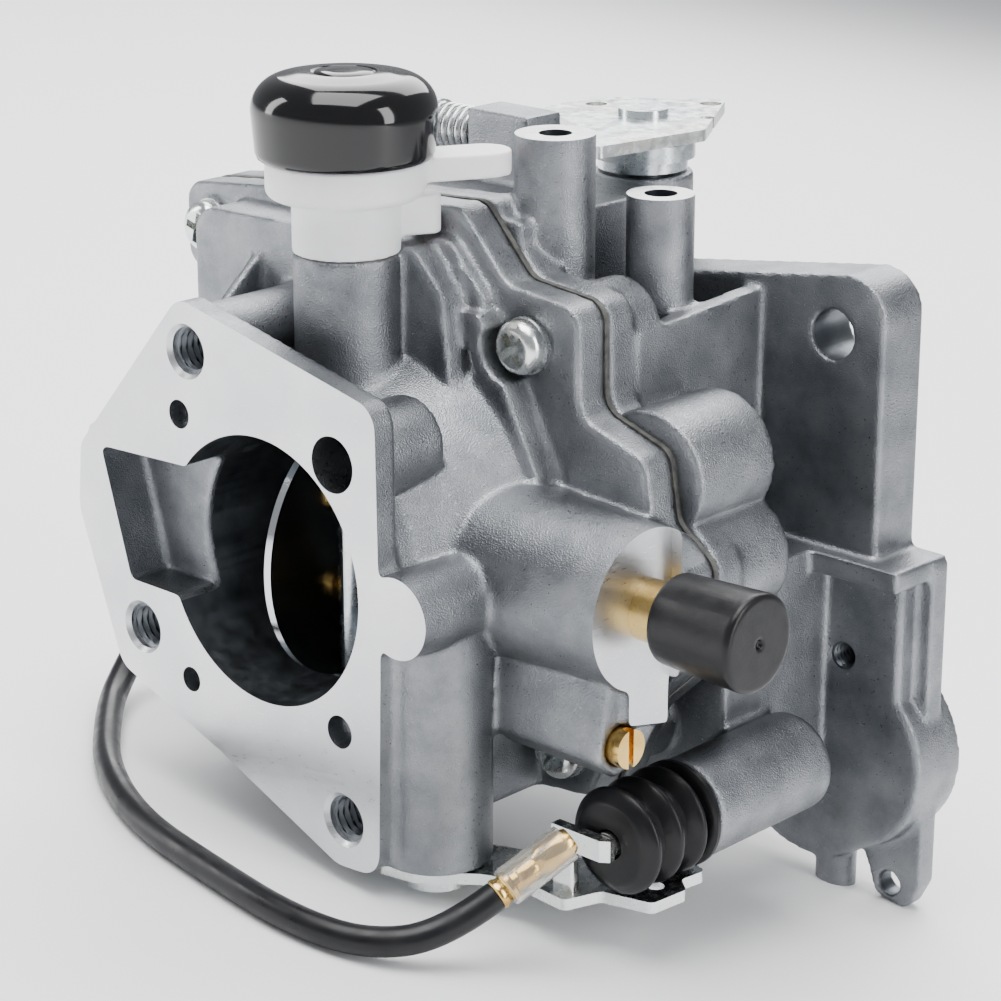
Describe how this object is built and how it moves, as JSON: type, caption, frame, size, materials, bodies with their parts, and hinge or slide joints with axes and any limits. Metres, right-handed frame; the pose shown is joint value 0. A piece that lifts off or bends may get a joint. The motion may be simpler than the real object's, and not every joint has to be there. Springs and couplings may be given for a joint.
{
  "type": "carburetor",
  "caption": "Single-barrel die-cast engine carburetor with a choke, throttle, float chamber, accelerator pump, fuel inlet and a shut-off solenoid on a short lead.",
  "frame": {"origin": "centre of the air inlet bore on the machined air cleaner face", "axes": "+Y inwards along the bore, +X out of the fuel inlet, +Z along the choke and throttle shafts towards their levers"},
  "size_m": [0.119, 0.106, 0.114],
  "materials": {
    "cast_aluminium": "shot-blasted die casting with machined faces",
    "gasket": "compressed fibre sheet",
    "zinc_steel": "bright zinc plate",
    "bright_steel": "polished",
    "spring_steel": "drawn wire",
    "brass": "turned",
    "black_rubber": "moulded, satin",
    "black_gloss": "polished moulding",
    "white_plastic": "natural nylon",
    "float_foam": "closed-cell",
    "lead_jacket": "smooth jacket",
    "clear_sleeve": "clear vinyl"
  },
  "bodies": {
    "casting": {"air_horn": "cast_aluminium", "body_gasket": "gasket", "main_body": "cast_aluminium", "choke_spring_housing": "white_plastic", "choke_spring": "spring_steel", "idle_speed_spring": "spring_steel", "idle_mixture_spring": "spring_steel", "fuel_inlet_tube": "brass", "needle_seat": "brass", "float_pin": "zinc_steel", "main_jet": "brass", "pilot_jet": "brass", "main_nozzle": "brass", "pump_lever_screw": "zinc_steel", "pump_boot": "black_rubber", "solenoid": "zinc_steel", "lead_gland": "black_rubber", "lead": "lead_jacket", "lead_terminal": "brass", "terminal_sleeve": "clear_sleeve", "body_screws": "zinc_steel", "lock_washers": "spring_steel"},
    "choke": {"choke_shaft": "zinc_steel", "choke_plate": "bright_steel", "choke_plate_screws": "brass", "choke_lever": "white_plastic", "choke_cap": "black_gloss"},
    "throttle": {"throttle_shaft": "zinc_steel", "throttle_plate": "brass", "throttle_plate_screws": "brass", "throttle_lever": "zinc_steel", "throttle_collar": "zinc_steel", "throttle_clip": "spring_steel"},
    "pump_arm": {"pump_lever": "zinc_steel", "pump_finger": "zinc_steel"},
    "pump_plunger": {"pump_rod": "zinc_steel"},
    "float_arm": {"float": "float_foam"},
    "needle": {"inlet_needle": "brass"},
    "idle_speed_adjuster": {"idle_speed_screw": "zinc_steel"},
    "idle_mixture_adjuster": {"idle_mixture_screw": "brass"},
    "inlet_cap": {"fuel_inlet_cap": "black_rubber"},
    "shut_off": {"solenoid_plunger": "bright_steel"}
  },
  "joints": [
    {"name": "choke_turn", "type": "hinge", "parent": "casting", "child": "choke", "pos_m": [0, 0.0157, 0], "axis": [0, 0, 1], "range_deg": [0, 72]},
    {"name": "throttle_turn", "type": "hinge", "parent": "casting", "child": "throttle", "pos_m": [0, 0.072, 0], "axis": [0, 0, 1], "range_deg": [0, 75]},
    {"name": "pump_lever_turn", "type": "hinge", "parent": "casting", "child": "pump_arm", "pos_m": [0.0206, 0.01, -0.0365], "axis": [0, 0, 1], "range_deg": [0, 14.1]},
    {"name": "pump_rod_slide", "type": "slide", "parent": "casting", "child": "pump_plunger", "axis": [0, 1, 0], "range_m": [0, 0.006], "deforming": ["pump_boot"]},
    {"name": "float_swing", "type": "hinge", "parent": "casting", "child": "float_arm", "pos_m": [0.009, 0.0365, 0.03], "axis": [0, 0, 1], "range_deg": [-6.9, 0]},
    {"name": "needle_slide", "type": "slide", "parent": "casting", "child": "needle", "axis": [0, 1, 0], "range_m": [0, 0.0017]},
    {"name": "idle_speed_turn", "type": "hinge", "parent": "casting", "child": "idle_speed_adjuster", "pos_m": [-0.02, 0.0515, 0.0465], "axis": [1, 0, 0], "range_deg": [-180, 180]},
    {"name": "idle_mixture_turn", "type": "hinge", "parent": "casting", "child": "idle_mixture_adjuster", "pos_m": [0.045, 0.0184, -0.0164], "axis": [1, 0, 0], "range_deg": [-180, 180]},
    {"name": "inlet_cap_pull", "type": "slide", "parent": "casting", "child": "inlet_cap", "axis": [1, 0, 0], "range_m": [0, 0.014]},
    {"name": "shut_off_slide", "type": "slide", "parent": "casting", "child": "shut_off", "axis": [-1, 0, 0], "range_m": [0, 0.0018]}
  ],
  "couplings": [
    {"joint": "pump_lever_turn", "follows": "throttle_turn", "ratio": 0.18667},
    {"joint": "pump_rod_slide", "follows": "throttle_turn", "m_per_rad": 0.004507},
    {"joint": "needle_slide", "follows": "float_swing", "m_per_rad": -0.013}
  ]
}
